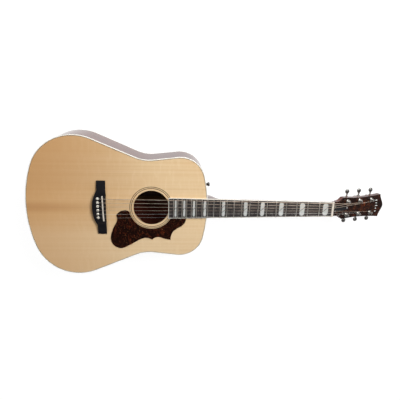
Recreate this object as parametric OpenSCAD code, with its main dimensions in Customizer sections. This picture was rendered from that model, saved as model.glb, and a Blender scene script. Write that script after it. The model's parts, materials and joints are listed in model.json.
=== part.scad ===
// Steel-string acoustic guitar lying on its back.
// Millimetres. +X runs along the neck to the headstock, +Y to the bass side, +Z up from the soundboard.

/* [Body] */
// Length of the body along its centre line
body_length = 498; // [496:0.5:503]
// Width across the lower bout
lower_bout = 398.5; // [396:0.1:402]
// Width at the waist
waist = 269.2; // [267:0.1:271]
// Width across the upper bout
upper_bout = 287.6; // [285:0.1:290]
// Depth of the body at the neck end
neck_end_depth = 98; // [95:0.5:101]
// Depth of the body at the tail end
tail_end_depth = 126; // [123:0.5:129]
// Thickness of the soundboard
top_thickness = 3; // [2.6:0.1:3]
// Thickness of the back plate
back_thickness = 3; // [2.6:0.1:3]
// Thickness of the bent sides and width of the binding
side_thickness = 2.4; // [2.2:0.1:2.6]
// Radius of the soundhole
soundhole_r = 49.5; // [48:0.5:50]

/* [Bridge] */
// Width of the bridge across the body
bridge_width = 153; // [148:1:158]
// Height of the bridge under the strings
bridge_height = 8.5; // [8:0.1:9]
// Height of the saddle's crown above the soundboard
saddle_top = 11.6; // [11:0.1:12]
// Length of the saddle
saddle_length = 72; // [70:1:74]

/* [Neck] */
// Sounding length of the strings
scale_length = 645; // [642:1:648]
// Number of frets
fret_count = 21; // [20:1:21]
// Width of the fingerboard at the nut
nut_width = 44; // [43:0.5:45]
// Width of the fingerboard where the neck meets the body
body_joint_width = 56; // [55:0.5:57]
// Thickness of the fingerboard
board_thickness = 6; // [5.5:0.5:6]
// Radius of the fingerboard's crown
board_radius = 406; // [300:1:500]
// Width of the fingerboard's side binding
board_binding = 1.6; // [1.2:0.1:2]

/* [Headstock] */
// Backward tilt of the headstock
head_tilt = 15; // [14:1:16]
// Thickness of the headstock with its facing
head_thickness = 14; // [14:0.5:14.5]
// Thickness of the facing
facing_thickness = 1.5; // [1.2:0.1:1.6]
// Distance from the nut to the first pair of posts
first_post = 48.5; // [47:0.5:50]
// Distance between neighbouring posts
post_pitch = 42.5; // [41:0.5:44]
// Distance of each post from the centre line
post_offset = 20; // [19:0.5:20.5]

/* [Tuners] */
// Diameter of the round tuner buttons
button_d = 13; // [12:0.5:14]
// Distance of the buttons' centres from the centre line
button_offset = 44.7; // [43:0.1:46]

/* [Strings] */
// Spread of the outer strings at the nut
nut_spread = 36.5; // [35:0.5:38]
// Spread of the outer strings at the saddle
saddle_spread = 54.5; // [53:0.5:56]
// Height of the strings' undersides above the neck plane at the nut
nut_action = 7.6; // [7.5:0.1:7.8]

/* [Hidden] */
$fn = 64;

spruce = [0.85, 0.70, 0.50];
mahogany = [0.32, 0.13, 0.08];
ebony = [0.07, 0.06, 0.07];
tortoise = [0.22, 0.07, 0.04];
ivory = [0.92, 0.89, 0.82];
pearl = [0.90, 0.90, 0.88];
nickel = [0.66, 0.66, 0.65];
bronze = [0.72, 0.55, 0.33];

// Places along the body, measured from the neck joint towards the tail
upper_at = 77;
waist_at = 163;
lower_at = 362.8;
hole_at = 157.2;
bridge_front = 281.5;
bridge_back = 305.5;
bridge_belly = 318.4;
saddle_at = 289.1;
saddle_slant = 1.92;
pins_at = 303;
cross_at = 232;
brace_angle = 47;
bridge_crown_r = 500;
pin_head_r = 3.7;
pin_dome_r = 5.2;

// The arcs of the body's outline: lower bout, waist, upper bout, then tail and shoulder
lower_r = 122.4;
waist_r = 100.5;
upper_r = 68.5;
lower_c = [lower_at, lower_bout / 2 - lower_r];
waist_c = [waist_at, waist / 2 + waist_r];
upper_c = [upper_at, upper_bout / 2 - upper_r];
tail_run = body_length - lower_at;
tail_r = (pow(tail_run, 2) + pow(lower_c.y, 2) - pow(lower_r, 2)) / (2 * (tail_run - lower_r));
tail_c = body_length - tail_r;
shoulder_r = (pow(upper_at, 2) + pow(upper_c.y, 2) - pow(upper_r, 2)) / (2 * (upper_at - upper_r));
shoulder_angle = atan2(upper_c.y, upper_at - shoulder_r);
tail_angle = atan2(lower_c.y, lower_at - tail_c);
upper_angle = bearing(waist_c - upper_c) + lean(upper_r, waist_c - upper_c);
lower_angle = bearing(waist_c - lower_c) - lean(lower_r, waist_c - lower_c);
back_taper = atan((tail_end_depth - neck_end_depth) / body_length);
rosette_r = [soundhole_r + 6, soundhole_r + 10.2];
rosette_width = 1.6;
rosette_depth = 1.2;
guard_thickness = 1.6;
binding_depth = 6.5;
lining_width = 6;
lining_depth = 14;
brace_inset = side_thickness + lining_width + 0.6;
brace_width = 8;

// Neck and fingerboard
body_fret = 14;
nut_x = fret_from_nut(body_fret);
nut_length = 5.5;
slot_flare = 0.9;
face_x = nut_x + nut_length;
face_z = 2;
board_end = nut_x - fret_from_nut(fret_count) - 14.2;
fret_height = 1.1;
fret_width = 2.4;
inlay_frets = [1, 3, 5, 7, 9, 12, 15, 17, 19, 21];
inlay_depth = 2.6;
heel_cap_thickness = 3;
rod_z = -5.3;
rod_r = 2.5;
bolt_depths = [30, 62];
bolt_r = 3.1;
pin_depth = 60;
head_length = 179;

// Strap fittings
end_pin_r = 4.8;
strap_y = 56;
strap_z = -50;
strap_screw_r = 1.9;

// Tuners, in the frame of the headstock's face
wheel_teeth = 16;
worm_centre = 9.5;
shaft_depth = head_thickness + 5;
shaft_r = 2;
post_r = 3;
drum_r = 2.6;
bushing_r = 4.6;
fit_gap = 0.05;
wheel_pitch_r = 6.5;
wheel_root_r = 5.5;
wheel_tip_r = 7.25;
wheel_width = 2.8;
thread_tip_r = 3.75;
thread_pitch = 2 * PI * wheel_pitch_r / wheel_teeth;
wrap_height = 4;
wraps = 3;

// Strings, from the thinnest to the thickest
gauges = [0.30, 0.41, 0.61, 0.81, 1.07, 1.35];
pin_groove = 2;
string_gap = 0.3;
ball_r = 1.9;
plate_thickness = 2.5;

// Resting place: the back lies flat on the floor and the whole length is centred on the origin
end_pin_reach = 19.5;
head_end = [face_x + head_length * cos(head_tilt), face_z - head_length * sin(head_tilt)];
tail_end = [body_length + end_pin_reach, pin_depth + 6];
head_reach = head_end.x * cos(back_taper) + head_end.y * sin(back_taper);
tail_reach = tail_end.x * cos(back_taper) + tail_end.y * sin(back_taper);
rest_x = (tail_reach - head_reach) / 2;

function bearing(v) = atan2(v.y, v.x);
function lean(r, v) = acos((r + waist_r) / norm(v));
function arc(c, r, from, to, steps) = [
  for (i = [0:steps]) let (a = from + (to - from) * i / steps) c + r * [cos(a), sin(a)]
];
function fret_from_nut(n) = scale_length * (1 - pow(2, -n / 12));
function half_board(x) = (nut_width + (body_joint_width - nut_width) * (nut_x - x) / nut_x) / 2;
function crown(y) = -y * y / (2 * board_radius);
function bridge_top(y) = bridge_height - y * y / (2 * bridge_crown_r);
function unit(v) = v / norm(v);
function flip_y(points) = [for (i = [len(points) - 1:-1:0]) [points[i].x, -points[i].y]];

// A smooth curve through a list of points, with four short chords between neighbours
function curve(p) = [
  for (i = [0:len(p) - 2])
    let (a = p[max(i - 1, 0)], b = p[i], c = p[i + 1], d = p[min(i + 2, len(p) - 1)])
      for (t = [0:0.25:0.75])
        (2 * b + (c - a) * t + (2 * a - 5 * b + 4 * c - d) * t * t
          + (3 * b - a - 3 * c + d) * t * t * t) / 2,
  p[len(p) - 1]
];

// Each string's places: across the nut, across the saddle, and its post on the headstock
function side_of(k) = k < 3 ? -1 : 1;
function nut_y(k) = nut_spread * (k / 5 - 0.5);
function saddle_y(k) = saddle_spread * (k / 5 - 0.5);
function saddle_x(y) = -saddle_at - (y + 1.1) * tan(saddle_slant);
function post_s(k) = first_post + post_pitch * (k < 3 ? k : 5 - k);
function from_face(s, y, h) = [
  face_x + s * cos(head_tilt) + h * sin(head_tilt),
  y,
  face_z - s * sin(head_tilt) + h * cos(head_tilt)
];

// ---- shared shapes ----

// Turns the level soundboard's frame so that the tapered back lies on the floor
module lay() {
  translate([rest_x, 0, neck_end_depth * cos(back_taper)]) rotate([0, back_taper, 0]) children();
}

// Places children in the headstock's frame: x along the face, z out of it
module on_head(s = 0, y = 0, h = 0) {
  translate([face_x, 0, face_z]) rotate([0, head_tilt, 0]) translate([s, y, h]) children();
}

// A solid lofted through rings of equal length
module loft(rings) {
  n = len(rings[0]);
  last = len(rings) - 1;
  polyhedron(
    points = [for (ring = rings) each ring],
    faces = concat(
      [[for (i = [0:n - 1]) i]],
      [
        for (j = [0:last - 1], i = [0:n - 1])
          let (a = j * n + i, b = j * n + (i + 1) % n)
            each [[a, a + n, b], [b, a + n, b + n]]
      ],
      [[for (i = [n - 1:-1:0]) last * n + i]]
    )
  );
}

// A round cord swept along a route that never turns across the Y axis
module cord(route, d, sides = 8) {
  last = len(route) - 1;
  loft([
    for (i = [0:last])
      let (
        t = unit(route[min(i + 1, last)] - route[max(i - 1, 0)]),
        u = unit(cross([0, 1, 0], t)),
        v = cross(t, u)
      )
        [for (j = [0:sides - 1]) route[i] + d / 2 * (cos(j * 360 / sides) * u + sin(j * 360 / sides) * v)]
  ]);
}

// The body's outline, moved inwards by an inset: shoulder, upper bout, waist, lower bout and tail
module outline(inset = 0) {
  side = concat(
    arc([shoulder_r, 0], shoulder_r - inset, 180, shoulder_angle, 9),
    arc(upper_c, upper_r - inset, shoulder_angle, upper_angle, 26),
    arc(waist_c, -waist_r - inset, upper_angle, lower_angle, 12),
    arc(lower_c, lower_r - inset, lower_angle, tail_angle, 30),
    arc([tail_c, 0], tail_r - inset, tail_angle, 0, 9)
  );
  mirror([1, 0]) polygon(concat(side, flip_y(side)));
}

// The outline between two insets and two heights
module rim(outer, inner, low, high) {
  translate([0, 0, low]) linear_extrude(high - low) difference() {
    outline(outer);
    outline(inner);
  }
}

// Everything inside an inset outline, down past the back
module inside(inset, high) {
  translate([0, 0, -200]) linear_extrude(200 + high) outline(inset);
}

// A slab parallel to the tapered back, between two heights above its outer face
module back_slab(low, high) {
  translate([0, 0, -neck_end_depth]) rotate([0, -back_taper, 0])
    translate([-700, -250, low]) cube([1200, 500, high - low]);
}

// A brace of one depth with sloped ends, hanging from the soundboard and centred on its length
module brace(length, width, depth, tip = 3, slope = 35) {
  half = length / 2;
  rotate([90, 0, 0]) translate([0, 0, -width / 2]) linear_extrude(width)
    polygon([
      [-half, 0], [-half, -tip], [slope - half, -depth], [half - slope, -depth], [half, -tip], [half, 0]
    ]);
}

// A brace laid between two places given as [distance from the joint, distance from the centre]
module brace_between(a, b, width, depth, tip = 3, slope = 35) {
  translate([-(a.x + b.x) / 2, (a.y + b.y) / 2, -top_thickness])
    rotate([0, 0, bearing([a.x - b.x, b.y - a.y])])
      brace(norm(b - a), width, depth, tip, slope);
}

// The fingerboard's tapered outline, moved inwards at its sides and at the body end
module board_outline(inset = 0) {
  end = board_end + inset;
  polygon([
    [end, -half_board(end) + inset],
    [nut_x, -half_board(nut_x) + inset],
    [nut_x, half_board(nut_x) - inset],
    [end, half_board(end) - inset]
  ]);
}

// A long cylinder whose crown gives the playing surface's curve at a height
module crown_bar(height) {
  translate([board_end - 1, 0, height - board_radius]) rotate([0, 90, 0])
    cylinder(h = nut_x + nut_length - board_end + 2, r = board_radius, $fn = 720);
}

// ---- body ----

module soundboard() color(spruce) lay() difference() {
  translate([0, 0, -top_thickness]) linear_extrude(top_thickness) outline(side_thickness);
  translate([-hole_at, 0, -50]) cylinder(h = 100, r = soundhole_r, $fn = 128);
  rosette_rings(1);
  for (k = [0:5]) pin_hole(k);
}

// Two inlaid rings around the soundhole; above makes them reach past the surface for cutting
module rosette_rings(above = 0) {
  for (r = rosette_r)
    translate([-hole_at, 0, -rosette_depth]) difference() {
      cylinder(h = rosette_depth + above, r = r + rosette_width / 2, $fn = 180);
      translate([0, 0, -1]) cylinder(h = rosette_depth + above + 2, r = r - rosette_width / 2, $fn = 180);
    }
}

module rosette() color(ebony) lay() rosette_rings();

// A guard with a scalloped foot, cut away around the rosette and against the fingerboard
module pickguard() color(tortoise) lay() difference() {
  horn = curve([[216, -13], [228, -7], [241, -9.5], [251, -17], [254.5, -23]]);
  belly = curve([
    [254.5, -23], [252, -31], [254, -42], [263, -59], [270, -80], [271, -93], [266, -108],
    [254, -118], [238, -120], [217, -110], [198, -98.5], [180, -90], [167, -89.5], [155, -94.5]
  ]);
  foot = curve([[155, -94.5], [148, -89], [137, -86.5], [120, -91.5], [103, -95]]);
  front = curve([[103, -95], [102, -84], [96, -70], [83, -60], [71, -52.5], [63, -43], [60, -31]]);
  board_edge = half_board(-110) + 0.4;
  corner = [[60, -board_edge], [112, -board_edge], [150, -15], [210, -12]];
  linear_extrude(guard_thickness) mirror([1, 0]) polygon(concat(horn, belly, foot, front, corner));
  translate([-hole_at, 0, -1]) cylinder(h = 5, r = rosette_r[1] + 2, $fn = 180);
}

module back_panel() color(mahogany) lay() intersection() {
  inside(side_thickness, 0);
  back_slab(0, back_thickness);
}

// One bent side: the rim's outer wall on one side of the centre line
module side_wall(sign) {
  difference() {
    intersection() {
      rim(0, side_thickness, -200, -binding_depth);
      back_slab(binding_depth, 400);
      translate([-600, sign > 0 ? 0 : -300, -200]) cube([700, 300, 250]);
    }
    bolt_holes(bolt_r + 0.2);
    end_pin_hole();
    strap_hole();
  }
}

module end_pin_hole() {
  translate([-body_length - 10, 0, -pin_depth]) rotate([0, 90, 0]) cylinder(h = 40, r = end_pin_r);
}

module strap_hole() {
  strap_place() translate([0, 0, -30]) cylinder(h = 60, r = strap_screw_r);
}

module bass_side() color(mahogany) lay() side_wall(1);
module treble_side() color(mahogany) lay() side_wall(-1);

// The spaces of the two end blocks
module neck_block_space(grow = 0) {
  translate([-52 - grow, -62 - grow, -200]) cube([60 + grow, 124 + 2 * grow, 300]);
}

module tail_block_space(grow = 0) {
  translate([-body_length, -45 - grow, -200]) cube([24 + grow, 90 + 2 * grow, 300]);
}

module lining_ring(low, high) {
  difference() {
    rim(side_thickness, side_thickness + lining_width, low, high);
    neck_block_space(0.2);
    tail_block_space(0.2);
  }
}

module top_lining() color(spruce) lay() lining_ring(-top_thickness - lining_depth, -top_thickness);

module back_lining() color(spruce) lay() intersection() {
  lining_ring(-200, -50);
  back_slab(back_thickness, back_thickness + lining_depth);
}

module neck_block() color(mahogany) lay() difference() {
  intersection() {
    inside(side_thickness, -top_thickness);
    back_slab(back_thickness, 400);
    neck_block_space();
  }
  bolt_holes(bolt_r + 0.2);
  strap_hole();
}

module tail_block() color(mahogany) lay() difference() {
  intersection() {
    inside(side_thickness, -top_thickness);
    back_slab(back_thickness, 400);
    tail_block_space();
  }
  end_pin_hole();
}

module top_binding() color(ivory) lay() rim(0, side_thickness, -binding_depth, 0);

module back_binding() color(ivory) lay() intersection() {
  rim(0, side_thickness, -200, -50);
  back_slab(0, binding_depth);
}

// ---- bracing ----

module x_leg(sign) {
  translate([-cross_at, 0, -top_thickness]) rotate([0, 0, sign * brace_angle])
    translate([-35, 0, 0]) brace(446, brace_width, 14, 3, 70);
}

// Two crossed legs, halved into each other
module x_brace() color(spruce) lay() intersection() {
  inside(brace_inset, 0);
  union() {
    for (sign = [-1, 1]) difference() {
      x_leg(sign);
      translate([-cross_at, 0, -top_thickness - (sign > 0 ? 7.05 : 15)]) rotate([0, 0, -sign * brace_angle])
        translate([-20, -brace_width / 2 - 0.05, 0]) cube([40, brace_width + 0.1, 8.05]);
    }
  }
}

module tone_bars() color(spruce) lay() {
  brace_between([338, 84], [412, -138], 7, 11);
  brace_between([392, 96], [456, -92], 7, 10);
}

module finger_braces() color(spruce) lay() for (sign = [-1, 1]) {
  brace_between([296, sign * 90], [290, sign * 158], 5, 6, 2, 20);
  brace_between([346, sign * 136], [340, sign * 180], 5, 6, 2, 16);
}

module soundhole_braces() color(spruce) lay() {
  brace_between([90, -128], [90, 128], 12, 14);
  for (sign = [-1, 1]) brace_between([104, sign * 56], [166, sign * 56], 7, 7, 2, 18);
}

module bridge_plate() color([0.62, 0.42, 0.27]) lay() difference() {
  translate([0, 0, -top_thickness - plate_thickness]) linear_extrude(plate_thickness)
    polygon([[-284, -44], [-326, -86], [-326, 86], [-284, 44]]);
  for (k = [0:5]) pin_hole(k);
}

module back_braces() color(spruce) lay() difference() {
  intersection() {
    inside(brace_inset, 0);
    back_slab(back_thickness, back_thickness + 14);
    for (place = [[95, 9], [222, 9], [312, 14], [405, 14]])
      translate([-place.x - place.y / 2, -200, -200]) cube([place.y, 400, 200]);
  }
  intersection() {
    back_slab(back_thickness, back_thickness + 2);
    translate([-470, -7, -200]) cube([414, 14, 200]);
  }
}

module back_strip() color(spruce) lay() intersection() {
  back_slab(back_thickness, back_thickness + 2);
  translate([-470, -7, -200]) cube([414, 14, 200]);
}

// ---- bridge ----

// Wings straight across, with a belly curving out towards the tail
module bridge_outline() {
  half = bridge_width / 2;
  flank = [[-bridge_back, 56], [-305.8, 50], [-309.3, 42], [-314, 31], [-317.4, 16]];
  belly = curve(concat(flank, [[-bridge_belly, 0]], flip_y(flank)));
  front = [[-bridge_back, -half], [-bridge_front, -half], [-bridge_front, half], [-bridge_back, half]];
  polygon(concat(front, belly));
}

module bridge() color(ebony) lay() difference() {
  linear_extrude(bridge_height) bridge_outline();
  // the top is crowned, which thins the wings down to their tips
  translate([-340, 0, bridge_height - bridge_crown_r]) rotate([0, 90, 0]) difference() {
    cylinder(h = 80, r = bridge_crown_r + 100, $fn = 360);
    translate([0, 0, -1]) cylinder(h = 82, r = bridge_crown_r, $fn = 720);
  }
  saddle_bar(saddle_length, 3.2, 3, 30);
  for (k = [0:5]) pin_hole(k);
  for (k = [0:5]) translate([-pins_at, saddle_y(k) - 1, bridge_height - 3]) cube([5.5, 2, 10]);
}

// A bar along the saddle's slanted line
module saddle_bar(length, width, low, high) {
  translate([-saddle_at, -1.1, low]) rotate([0, 0, saddle_slant])
    translate([-width / 2, -length / 2, 0]) cube([width, length, high - low]);
}

module saddle() color(ivory) lay() intersection() {
  saddle_bar(saddle_length, 3.2, 3, saddle_top + 1);
  translate([-340, 0, saddle_top - board_radius]) rotate([0, 90, 0])
    cylinder(h = 80, r = board_radius, $fn = 720);
}

// A pin's hole with a slot for its string on the side towards the nut
module pin_hole(k) {
  translate([-pins_at, saddle_y(k), -30]) {
    cylinder(h = 60, r = 2.6);
    translate([0, -0.95, 0]) cube([3.4, 1.9, 60]);
  }
}

// The heads rest on the bridge's crown, on the side nearer the centre line
module bridge_pins() color(ivory) lay() for (k = [0:5])
  translate([-pins_at, saddle_y(k), bridge_top(abs(saddle_y(k)) - pin_head_r) + 0.02]) difference() {
    union() {
      translate([0, 0, -24]) cylinder(h = 24, r = 2.5);
      rotate_extrude() intersection() {
        translate([0, 2.4 - pin_dome_r]) circle(pin_dome_r);
        square([pin_head_r, 2.4]);
      }
      translate([0, 0, -24]) sphere(2.5);
    }
    translate([0.9, -0.85, -30]) cube([8, 1.7, 60]);
  }

// ---- end pin and strap button ----

// A strap knob standing on z = 0: flange, waist and rounded head
module strap_knob(reach) {
  rotate_extrude() {
    square([6.8, 1.6]);
    square([4, reach - 4]);
    strap_knob_head(reach);
  }
}

// The domed head's section, and the hollow under it
module strap_knob_head(reach) {
  intersection() {
    translate([0, reach - 8]) circle(8);
    translate([0, reach - 5]) square([6, 5]);
  }
  difference() {
    translate([0, reach - 8]) square([6, 3]);
    translate([6.6, reach - 8]) circle(2.6);
  }
}

module end_pin() color(ebony) lay() translate([-body_length, 0, -pin_depth]) rotate([0, -90, 0]) {
  strap_knob(end_pin_reach);
  translate([0, 0, -24]) cylinder(h = 24.1, r = end_pin_r);
}

// The strap button's place on the bass shoulder, z pointing out of the side
module strap_place() {
  a = asin(strap_y / shoulder_r);
  translate([shoulder_r * (cos(a) - 1), strap_y, strap_z]) rotate([0, 0, a]) rotate([0, 90, 0]) children();
}

module strap_button() color(nickel) lay() strap_place() difference() {
  union() {
    translate([0, 0, 0.05]) cylinder(h = 1.3, r = 6.9);
    translate([0, 0, 1.3]) strap_knob(12.2);
  }
  translate([0, 0, -1]) cylinder(h = 30, r = strap_screw_r);
  translate([0, 0, 11]) cylinder(h = 30, r = 3.3);
}

module strap_button_screw() color(nickel) lay() strap_place() difference() {
  union() {
    translate([0, 0, -28]) cylinder(h = 40, r = strap_screw_r);
    translate([0, 0, 11]) cylinder(h = 1.8, r = 3.3);
  }
  for (turn = [0, 90]) rotate(turn) translate([-2, -0.4, 12]) cube([4, 0.8, 3]);
}

// ---- neck ----

// Depth of the neck's wood below its top plane, with the heel growing towards the body
function neck_depth(x) = 15.5 + 1.6 * (nut_x - x) / nut_x + 118 * exp(-pow(max(x, 0) / 25, 4));
function head_back(x) = (x - face_x) * tan(head_tilt) + head_thickness / cos(head_tilt) - face_z;
function heel_share(x) = exp(-pow(max(x, 0) / 30, 3));
function head_share(x) = min(max((x - nut_x) / 20, 0), 1);
// One D-shaped ring of the neck: rounded along the neck, slimmer at the heel, square at the head
function neck_ring(x) =
  let (
    w = half_board(min(x, nut_x)) - 0.4 * head_share(x),
    d = max(neck_depth(x), x > nut_x ? head_back(x) : 0),
    ez = 0.87 + 0.7 * heel_share(x) - 0.6 * head_share(x),
    ey = 0.87 + 0.6 * heel_share(x) - 0.6 * head_share(x)
  )
    [
      for (i = [0:24])
        let (c = -cos(i * 7.5), s = sin(i * 7.5))
          [x, w * sign(c) * pow(abs(c), ey), -d * pow(s, ez)]
    ];

heel_xs = [-2, 0, 6, 11, 14, 16.5, 19, 21, 23, 25, 27, 29, 31, 33, 36, 40, 46, 55, 72];
shaft_xs = [100, 160, 220, 280, 330, nut_x];
head_xs = [nut_x + 4, nut_x + 8, nut_x + 12, nut_x + 16, nut_x + 20, nut_x + 25];

module neck_shape() {
  loft([for (x = concat(heel_xs, shaft_xs, head_xs)) neck_ring(x)]);
}

// The headstock's outline: flared from the nut, hollow sides, and a crested tip
module head_outline(start) {
  flare = curve([[start, 21.6], [16, 21.9], [22, 23.8], [28, 28.5], [33, 32.4]]);
  flank = curve([[33, 32.4], [50, 31.2], [80, 29.6], [110, 30], [140, 32], [165.5, 34.8]]);
  crest = curve([[165.5, 34.8], [167.2, 28], [170.5, 20.5], [175, 12], [178.2, 5], [head_length, 0]]);
  half = concat(flare, flank, crest);
  polygon(concat(half, flip_y(half)));
}

// The bolts' holes through the rim and block into the heel
module bolt_holes(r) {
  for (depth = bolt_depths) translate([-70, 0, -depth]) rotate([0, 90, 0]) cylinder(h = 88, r = r);
}

// The pocket at the headstock through which the truss rod's nut is reached
module rod_pocket() {
  translate([nut_x - 6, -5.2, -9.8]) cube([37, 10.4, 30]);
}

module rod_slot() {
  translate([6, -3.3, -8.2]) cube([nut_x - 10, 6.6, 12]);
  rod_pocket();
}

module neck() color(mahogany) lay() difference() {
  union() {
    intersection() {
      neck_shape();
      back_slab(heel_cap_thickness, 400);
    }
    on_head(0, 0, -head_thickness) linear_extrude(head_thickness - facing_thickness) head_outline(12);
  }
  inside(0, 1);
  on_head(-9, -50, -facing_thickness) cube([200, 100, 40]);
  rod_slot();
  bolt_holes(bolt_r);
  for (k = [0:5]) on_head(post_s(k), side_of(k) * post_offset, -30) cylinder(h = 40, r = bushing_r);
  for (k = [0:5]) tuner_screw_at(k) translate([0, 0, -0.5]) cylinder(h = 7.6, r = 1);
  cover_screw_places() translate([0, 0, -7]) cylinder(h = 7, r = 1);
}

module heel_cap() color(ivory) lay() difference() {
  intersection() {
    neck_shape();
    back_slab(0, heel_cap_thickness);
  }
  inside(0, 1);
}

module neck_bolts() color(nickel) lay() for (depth = bolt_depths)
  translate([-60, 0, -depth]) rotate([0, 90, 0]) difference() {
    union() {
      cylinder(h = 6, r = 5);
      translate([0, 0, 6]) cylinder(h = 2, r = 8);
      cylinder(h = 76, r = bolt_r);
    }
    translate([0, 0, -1]) cylinder(h = 5, r = 2.9, $fn = 6);
  }

module fingerboard() color(ebony) lay() difference() {
  intersection() {
    linear_extrude(board_thickness + 1) board_outline(board_binding);
    crown_bar(board_thickness);
  }
  inlay_blocks(board_thickness - inlay_depth, 10);
  for (n = [1:fret_count]) translate([nut_x - fret_from_nut(n) - 0.3, -40, 4]) cube([0.6, 80, 10]);
}

module fingerboard_binding() color(ivory) lay() intersection() {
  linear_extrude(board_thickness + 1) difference() {
    board_outline();
    board_outline(board_binding);
  }
  crown_bar(board_thickness);
}

// A fret's section: a rounded crown, and a tang that stands in the board
module fret_section() {
  intersection() {
    translate([fret_height - 1.2, 0]) circle(1.2, $fn = 32);
    translate([0, -fret_width / 2]) square([2, fret_width]);
  }
}

module frets() color(nickel) lay() for (n = [1:fret_count]) {
  x = nut_x - fret_from_nut(n);
  spread = 2 * asin((half_board(x) - 0.4) / board_radius);
  translate([x, 0, board_thickness - board_radius]) rotate([0, 90, 0]) rotate([0, 0, 180 - spread / 2])
    rotate_extrude(angle = spread, $fn = 1440) translate([board_radius, 0]) fret_section();
  intersection() {
    translate([x - 0.3, -half_board(x) + board_binding, 4])
      cube([0.6, 2 * (half_board(x) - board_binding), 10]);
    crown_bar(board_thickness + 0.4);
  }
}

// A long block with rounded ends, split by one or two slanting gaps
module inlay_block(width, height, cuts) {
  w = width / 2;
  middle = [0, height / 2 - w];
  difference() {
    polygon(concat(arc(middle, w, 0, 180, 8), arc(-middle, w, 180, 360, 8)));
    for (c = cuts) translate([0, c]) rotate(42) square([3 * width, 1.3], center = true);
  }
}

function block_middle(n) = nut_x - (fret_from_nut(n - 1) + fret_from_nut(n)) / 2;
function block_width(n) = 0.43 * (fret_from_nut(n) - fret_from_nut(n - 1));

module inlay_blocks(low, high) {
  for (n = inlay_frets) if (n <= fret_count)
    translate([block_middle(n), 0, low]) linear_extrude(high - low)
      inlay_block(block_width(n), 1.62 * half_board(block_middle(n)), n == 12 ? [-7, 7] : [0]);
}

module fingerboard_inlays() color(pearl) lay() intersection() {
  inlay_blocks(board_thickness - inlay_depth, board_thickness + 1);
  crown_bar(board_thickness);
}

module nut() color(ivory) lay() difference() {
  intersection() {
    translate([nut_x, -nut_width / 2, 0]) cube([nut_length, nut_width, 12]);
    crown_bar(9);
    translate([nut_x - 3, -40, 9.4]) rotate([0, 12, 0]) translate([0, 0, -30]) cube([20, 80, 30]);
  }
  for (k = [0:5]) let (half = gauges[k] / 2 + 0.12)
    translate([nut_x - 1, nut_y(k), nut_action + crown(nut_y(k)) - 0.05]) rotate([0, 6.2, 0])
      linear_extrude(5) polygon([[0, -half], [9, -half - slot_flare], [9, half + slot_flare], [0, half]]);
  on_head(0, -40, -0.01) translate([-20, 0, -20]) cube([60, 80, 20.01]);
}

// ---- headstock ----

module headstock_facing() color(tortoise) lay() difference() {
  on_head(0, 0, -facing_thickness) linear_extrude(facing_thickness) head_outline(0);
  rod_pocket();
  for (k = [0:5]) on_head(post_s(k), side_of(k) * post_offset, -30) cylinder(h = 40, r = bushing_r);
  cover_screw_places() translate([0, 0, -7]) cylinder(h = 9, r = 1);
  head_lozenges(-1, 2);
}

// A row of plain lozenges across the headstock's tip
module head_lozenges(low, high) {
  for (i = [-2:2])
    on_head(156 - abs(i) * 1.5, i * 8.5, low) linear_extrude(high - low)
      polygon([[i % 2 == 0 ? -4.8 : -3, 0], [0, -2.2], [i % 2 == 0 ? 4.8 : 3, 0], [0, 2.2]]);
}

module headstock_inlay() color(pearl) lay() head_lozenges(-1, 0);

module cover_outline() {
  half = curve([[2, 9.6], [10, 9.3], [20, 7.6], [31, 5.7], [43, 4.8], [50, 3.8], [53.5, 0]]);
  polygon(concat(half, flip_y(half)));
}

module cover_screw_places() {
  for (place = [[7, -6.5], [7, 6.5], [48, 0]]) on_head(place.x, place.y, 0) children();
}

module truss_rod_cover() color(ebony) lay() difference() {
  on_head() linear_extrude(2) cover_outline();
  cover_screw_places() translate([0, 0, -1]) cylinder(h = 4, r = 1);
}

module cover_screws() color(nickel) lay() cover_screw_places() difference() {
  union() {
    translate([0, 0, -6]) cylinder(h = 8.5, r = 1);
    rotate_extrude() intersection() {
      translate([0, 1]) circle(2.2);
      translate([0, 2]) square([2, 2]);
    }
  }
  for (turn = [0, 90]) rotate(turn) translate([-1.2, -0.25, 2.6]) cube([2.4, 0.5, 2]);
}

module truss_rod() color(nickel) lay() {
  translate([10, 0, rod_z]) rotate([0, 90, 0]) cylinder(h = face_x + 0.5, r = rod_r);
  translate([8, -3, -2.9]) cube([nut_x - 12, 6, 2.6]);
  translate([8, -3, -8]) cube([9, 6, 6]);
  translate([nut_x - 16, -3, -8]) cube([9, 6, 6]);
}

module truss_rod_nut() color([0.75, 0.6, 0.3]) lay()
  translate([face_x + 1, 0, rod_z]) rotate([0, 90, 0]) difference() {
    intersection() {
      cylinder(h = 8, r = 4.04, $fn = 6);
      cylinder(h = 8, r = 3.9);
    }
    translate([0, 0, -1]) cylinder(h = 10, r = rod_r + fit_gap);
  }

// ---- tuners ----

// Places children on the worm shaft's axis, z pointing out to the button
module on_shaft(k) {
  on_head(post_s(k) + worm_centre, side_of(k) * post_offset, -shaft_depth)
    rotate([side_of(k) > 0 ? -90 : 90, 0, 0]) children();
}

module on_post(k) {
  on_head(post_s(k), side_of(k) * post_offset, 0) children();
}

module tuner_screw_at(k) {
  on_head(post_s(k) - 12.5, side_of(k) * post_offset, -head_thickness) children();
}

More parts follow.
